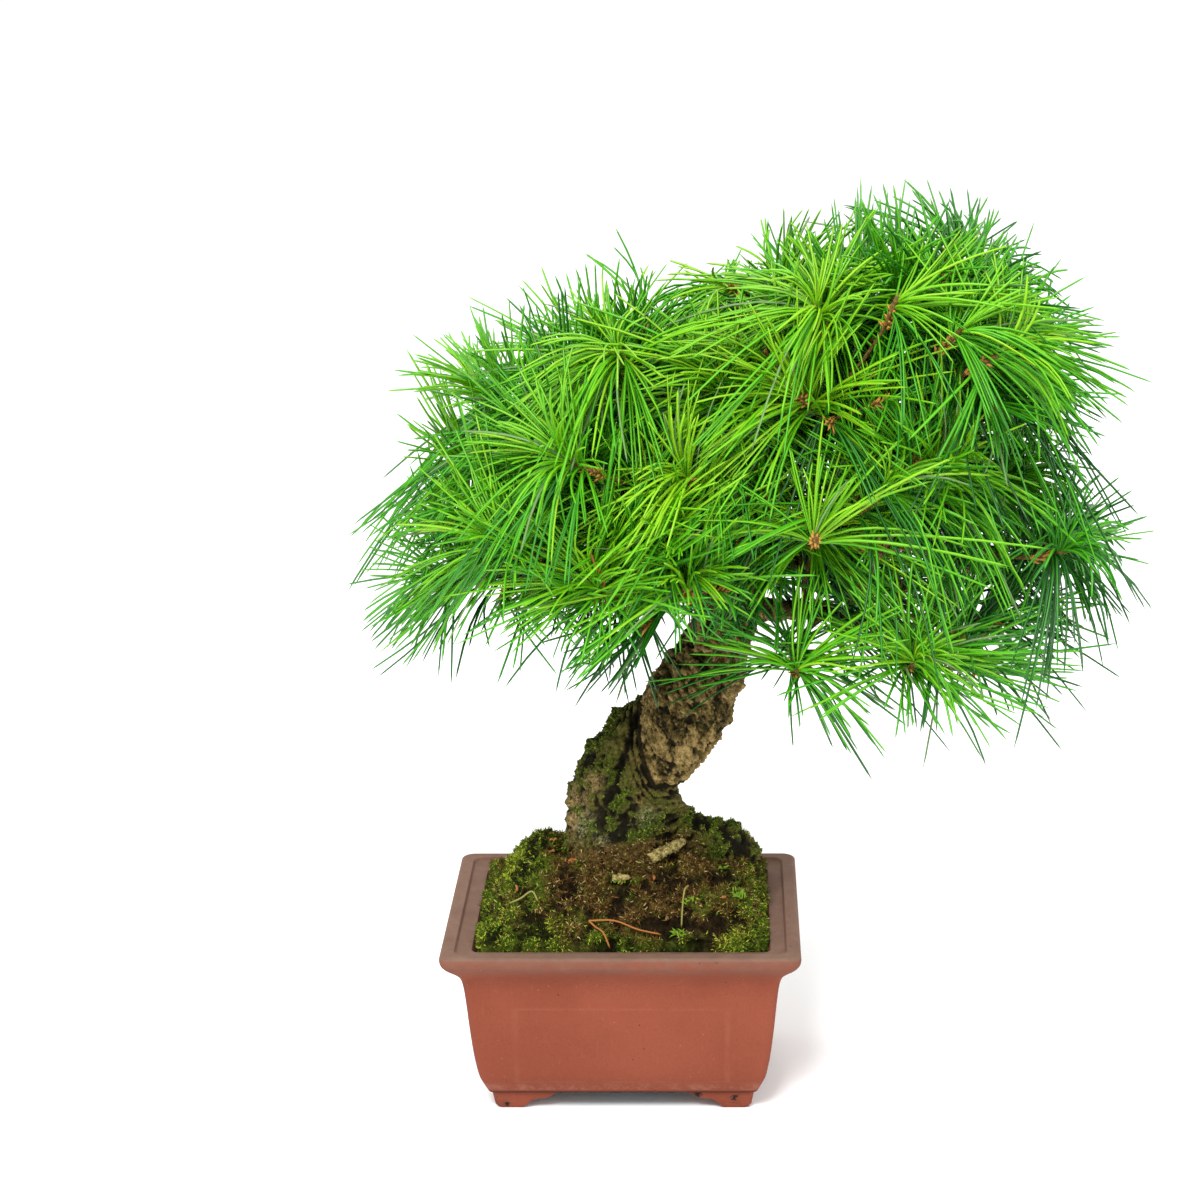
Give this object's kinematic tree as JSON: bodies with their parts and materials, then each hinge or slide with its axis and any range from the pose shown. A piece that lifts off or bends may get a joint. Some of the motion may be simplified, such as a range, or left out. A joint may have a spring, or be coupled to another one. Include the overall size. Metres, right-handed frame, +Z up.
{
  "type": "japanese white pine bonsai",
  "caption": "Grafted dwarf pine trained as a bonsai: a leaning, tapering trunk over a mossy rootstock, a full crown of long green needles, and a footed rectangular clay pot.",
  "frame": {"origin": "under the middle of the whole plant's bounding box, on the ground the pot stands on", "axes": "+Z up along the plant's height, +X to the right along the pot's longer side, +Y away from the viewer, so the front of the pot faces -Y"},
  "size_m": [0.3546, 0.2568, 0.4137],
  "materials": {
    "clay": "unglazed, matte",
    "moss_soil": "matte",
    "bark": "rough",
    "needles": "satin"
  },
  "bodies": {
    "root": {"pot": "clay", "soil": "moss_soil", "trunk": "bark", "bough_front": "bark", "bough_left_low": "bark", "bough_left_mid": "bark", "bough_left_top": "bark", "bough_front_mid": "bark", "bough_right_mid": "bark", "bough_right_low": "bark", "bough_right_back": "bark", "bough_back_low": "bark", "bough_back_mid": "bark", "bough_top_front": "bark", "bough_top_left": "bark", "bough_top_right": "bark", "bough_top_back": "bark", "foliage_front_centre": "needles", "foliage_front_left": "needles", "foliage_left_front": "needles", "foliage_left_tip": "needles", "foliage_left_under": "needles", "foliage_left_back": "needles", "foliage_middle_left": "needles", "foliage_middle_front": "needles", "foliage_middle_far_left": "needles", "foliage_upper_left": "needles", "foliage_upper_left_peak": "needles", "foliage_upper_left_back": "needles", "foliage_centre_front": "needles", "foliage_centre_right": "needles", "foliage_centre_top": "needles", "foliage_right_front": "needles", "foliage_right_middle": "needles", "foliage_low_front": "needles", "foliage_low_right_front": "needles", "foliage_low_right": "needles", "foliage_low_right_tip": "needles", "foliage_right_tip": "needles", "foliage_right_back": "needles", "foliage_right_back_top": "needles", "foliage_back_centre": "needles", "foliage_back_left": "needles", "foliage_back_under": "needles", "foliage_back_middle": "needles", "foliage_back_middle_left": "needles", "foliage_back_middle_right": "needles", "foliage_top_front_left": "needles", "foliage_top_front_peak": "needles", "foliage_top_left_peak": "needles", "foliage_top_left_back": "needles", "foliage_top_right_tip": "needles", "foliage_top_right_back": "needles", "foliage_top_back": "needles", "foliage_top_leader": "needles"}
  },
  "joints": []
}
